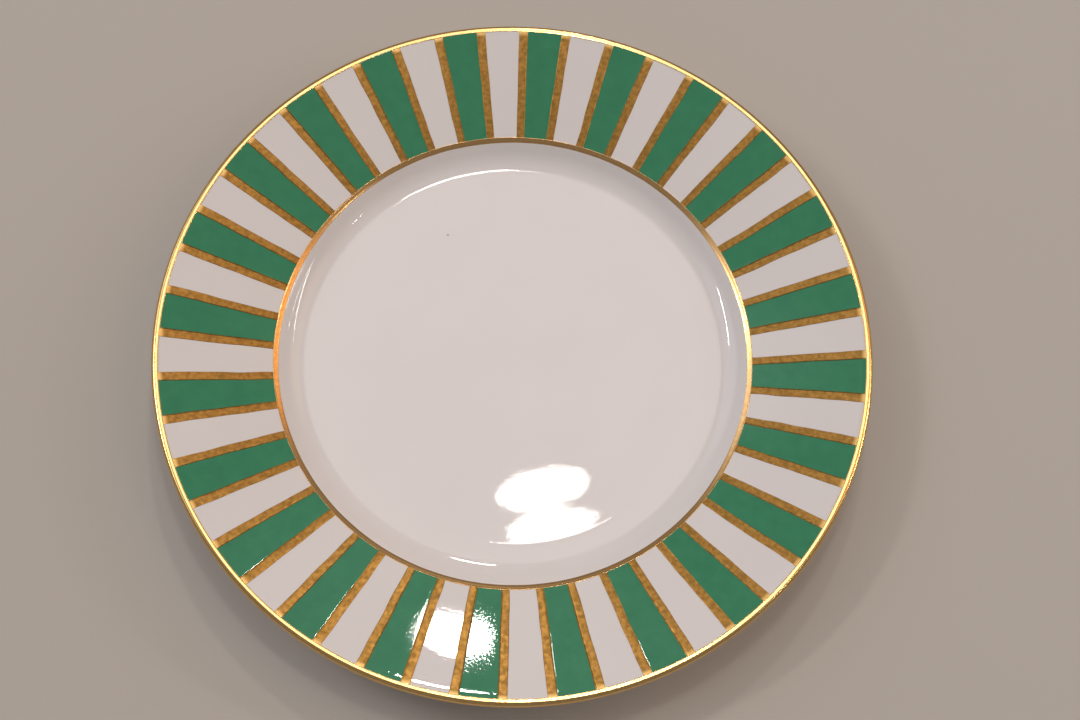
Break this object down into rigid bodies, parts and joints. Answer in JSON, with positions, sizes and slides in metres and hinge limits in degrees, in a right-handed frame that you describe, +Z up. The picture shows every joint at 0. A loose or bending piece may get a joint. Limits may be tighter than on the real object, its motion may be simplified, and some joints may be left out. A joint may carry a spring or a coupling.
{
  "type": "dinner plate",
  "caption": "Round china dinner plate: white well, wide sloping rim painted in alternating green and white panels between gold spokes, gold line on the shoulder and gold band round the lip.",
  "frame": {"origin": "centre of the plane that the foot ring rests on, on the plate's axis", "axes": "+Z up out of the well along the plate's axis; +X through the middle of the first green panel"},
  "size_m": [0.27, 0.27, 0.0252],
  "materials": {
    "biscuit_porcelain": "bare fired porcelain, matt and slightly rough, ground flat where it stands",
    "clear_glaze": "clear gloss glaze over white porcelain, with the faint unevenness of a dipped glaze",
    "green_enamel": "glossy on-glaze green enamel, slightly raised",
    "fired_gold": "fired-on gold, satin and faintly mottled"
  },
  "bodies": {
    "root": {"porcelain_body": "biscuit_porcelain", "clear_glaze": "clear_glaze", "foot_recess_glaze": "clear_glaze", "gold_verge_band": "fired_gold", "gold_shoulder_line": "fired_gold", "green_panel_01": "green_enamel", "gold_spokes_01": "fired_gold", "green_panel_02": "green_enamel", "gold_spokes_02": "fired_gold", "green_panel_03": "green_enamel", "gold_spokes_03": "fired_gold", "green_panel_04": "green_enamel", "gold_spokes_04": "fired_gold", "green_panel_05": "green_enamel", "gold_spokes_05": "fired_gold", "green_panel_06": "green_enamel", "gold_spokes_06": "fired_gold", "green_panel_07": "green_enamel", "gold_spokes_07": "fired_gold", "green_panel_08": "green_enamel", "gold_spokes_08": "fired_gold", "green_panel_09": "green_enamel", "gold_spokes_09": "fired_gold", "green_panel_10": "green_enamel", "gold_spokes_10": "fired_gold", "green_panel_11": "green_enamel", "gold_spokes_11": "fired_gold", "green_panel_12": "green_enamel", "gold_spokes_12": "fired_gold", "green_panel_13": "green_enamel", "gold_spokes_13": "fired_gold", "green_panel_14": "green_enamel", "gold_spokes_14": "fired_gold", "green_panel_15": "green_enamel", "gold_spokes_15": "fired_gold", "green_panel_16": "green_enamel", "gold_spokes_16": "fired_gold", "green_panel_17": "green_enamel", "gold_spokes_17": "fired_gold", "green_panel_18": "green_enamel", "gold_spokes_18": "fired_gold", "green_panel_19": "green_enamel", "gold_spokes_19": "fired_gold", "green_panel_20": "green_enamel", "gold_spokes_20": "fired_gold", "green_panel_21": "green_enamel", "gold_spokes_21": "fired_gold", "green_panel_22": "green_enamel", "gold_spokes_22": "fired_gold", "green_panel_23": "green_enamel", "gold_spokes_23": "fired_gold", "green_panel_24": "green_enamel", "gold_spokes_24": "fired_gold"}
  },
  "joints": []
}
